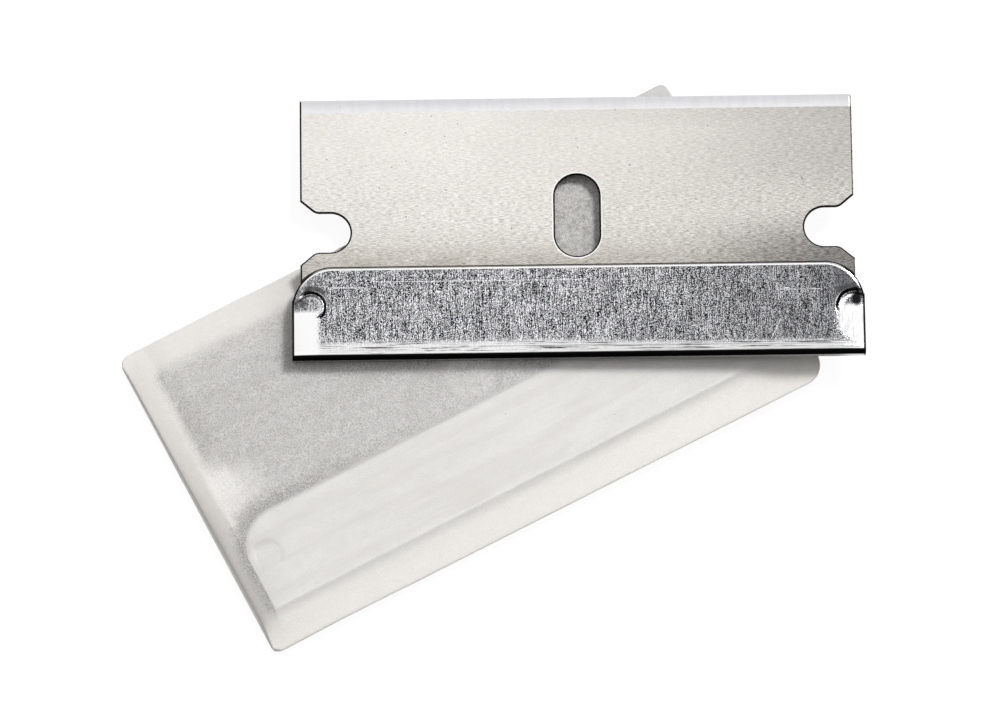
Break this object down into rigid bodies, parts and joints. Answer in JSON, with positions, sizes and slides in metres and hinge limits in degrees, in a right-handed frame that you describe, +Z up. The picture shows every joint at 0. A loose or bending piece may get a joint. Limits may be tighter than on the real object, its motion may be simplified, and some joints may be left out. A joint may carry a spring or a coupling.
{
  "type": "razor blade scraper",
  "caption": "Bare single-edge scraper blade with a folded metal back, lying on a second blade wrapped in translucent waxed paper.",
  "frame": {"origin": "middle of the paper packet's underside, on the surface that it lies on", "axes": "+X along the bare blade's back, +Y towards its sharp edge, +Z up. The packet's length is turned 27.2 degrees from +X towards +Y."},
  "size_m": [0.051, 0.0399, 0.0033],
  "materials": {
    "blade_steel": "fine ground steel with a lengthwise grain and a smoother bevel",
    "back_steel": "bright rolled sheet with fine lines across its height and polished pressed ends",
    "waxed_paper": "translucent waxed paper with a fine mottle"
  },
  "bodies": {
    "packet": {"paper_sleeve": "waxed_paper"},
    "end_flap": {"paper_end_flap": "waxed_paper"},
    "wrapped": {"wrapped_blade": "blade_steel", "wrapped_blade_back": "back_steel"},
    "loose": {"loose_blade": "blade_steel", "loose_blade_back": "back_steel"}
  },
  "joints": [
    {"name": "loose_blade_lift", "type": "slide", "parent": "packet", "child": "loose", "axis": [0, 0, 1], "range_m": [0, 0.03]},
    {"name": "wrapped_blade_slide", "type": "slide", "parent": "packet", "child": "wrapped", "axis": [0.8894, 0.4571, 0], "range_m": [0, 0.045]},
    {"name": "end_flap_fold", "type": "hinge", "parent": "packet", "child": "end_flap", "pos_m": [-0.01895, -0.00974, 0.0002], "axis": [-0.4571, 0.8894, 0], "range_deg": [0, 180]}
  ]
}
